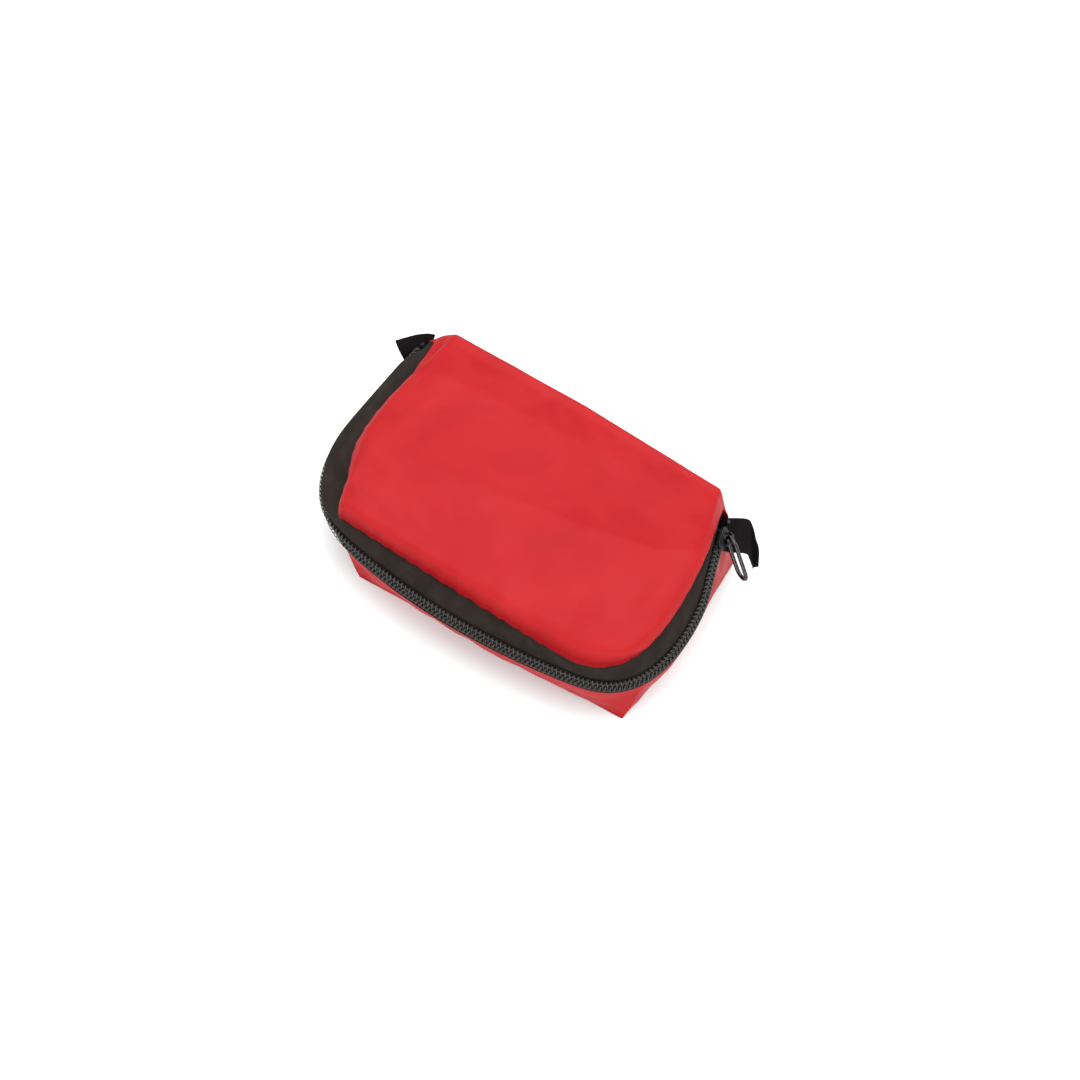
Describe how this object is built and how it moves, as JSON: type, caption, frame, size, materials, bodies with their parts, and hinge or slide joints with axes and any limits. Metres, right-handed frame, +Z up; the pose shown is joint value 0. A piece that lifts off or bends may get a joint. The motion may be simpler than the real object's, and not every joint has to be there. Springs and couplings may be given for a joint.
{
  "type": "first aid kit pouch",
  "caption": "Soft red zip pouch with a lid hinged on its rear fold, a sliding zip pull with a swinging ring, and first aid supplies packed inside.",
  "frame": {"origin": "on the resting face of the base panel, under the middle of the zip's outline", "axes": "+X along the long side, +Y towards the rear fold that the lid opens on, +Z up out of the base"},
  "size_m": [0.1704, 0.0958, 0.051],
  "materials": {
    "red_nylon": "coated woven nylon, semi-gloss",
    "zip_tape": "woven polyester tape, matt",
    "zip_coil": "nylon coil, satin",
    "binding": "ribbed binding tape, matt",
    "webbing": "woven ribbon, matt",
    "slider_metal": "black lacquered zinc",
    "pull_metal": "black nickel, glossy",
    "steel": "satin",
    "foil": "crinkled metallised film",
    "paper": "uncoated",
    "sachet_paper": "heat-sealed sterile paper",
    "wipe_foil": "heat-sealed laminate",
    "plaster_paper": "thin wrapper paper",
    "crepe": "crinkled cotton crepe",
    "gauze": "open cotton weave",
    "zinc_tape": "matt cloth tape",
    "card": "plain",
    "glove_bag": "clear film over blue gloves"
  },
  "bodies": {
    "shell": {"base_panel": "red_nylon", "front_wall": "red_nylon", "left_wall": "red_nylon", "right_wall": "red_nylon", "rear_wall": "red_nylon", "zip_tape_shell": "zip_tape", "zip_coil_shell": "zip_coil", "seam_binding_shell": "binding", "zip_bottom_stop": "slider_metal", "zip_top_stop": "slider_metal", "tab_left": "webbing", "tab_right": "webbing", "foil_blanket_pack": "foil", "gloves_pack": "glove_bag", "gauze_sachet_1": "sachet_paper", "gauze_sachet_2": "sachet_paper", "wipe_sachet_1": "wipe_foil", "wipe_sachet_2": "wipe_foil", "wipe_sachet_3": "wipe_foil", "plaster_1": "plaster_paper", "plaster_2": "plaster_paper", "plaster_3": "plaster_paper", "plaster_4": "plaster_paper", "leaflet": "paper", "triangular_bandage_pack": "gauze", "crepe_bandage": "crepe", "conforming_bandage": "gauze", "bandage_clip_1": "steel", "bandage_clip_2": "steel", "tape_core": "card", "tape_roll": "zinc_tape", "tweezers": "steel", "safety_pin_1": "steel", "safety_pin_2": "steel", "safety_pin_3": "steel", "safety_pin_cap_1": "steel", "safety_pin_cap_2": "steel", "safety_pin_cap_3": "steel", "scissors_blade_fixed": "steel", "scissors_rivet": "steel"},
    "lid": {"lid_top_panel": "red_nylon", "lid_spine_panel": "red_nylon", "zip_tape_lid": "zip_tape", "zip_coil_lid": "zip_coil", "seam_binding_lid": "binding"},
    "slider": {"slider_body": "slider_metal"},
    "pull": {"pull_ring": "pull_metal"},
    "scissors_arm": {"scissors_blade_moving": "steel"}
  },
  "joints": [
    {"name": "lid_fold", "type": "hinge", "parent": "shell", "child": "lid", "pos_m": [-0.0045, 0.0417, 0.03575], "axis": [-0.9985, 0, 0.0551], "range_deg": [0, 160]},
    {"name": "slider_travel", "type": "slide", "parent": "shell", "child": "slider", "axis": [0.2971, -0.9424, -0.1537], "range_m": [0, 0.038]},
    {"name": "pull_swing", "type": "hinge", "parent": "slider", "child": "pull", "pos_m": [0.07019, 0.03185, 0.03484], "axis": [-0.0389, -0.9377, 0.3451], "range_deg": [0, 110]},
    {"name": "scissors_pivot", "type": "hinge", "parent": "shell", "child": "scissors_arm", "pos_m": [0.002, -0.013, 0.0221], "axis": [0, 0, 1], "range_deg": [0, 20]}
  ]
}
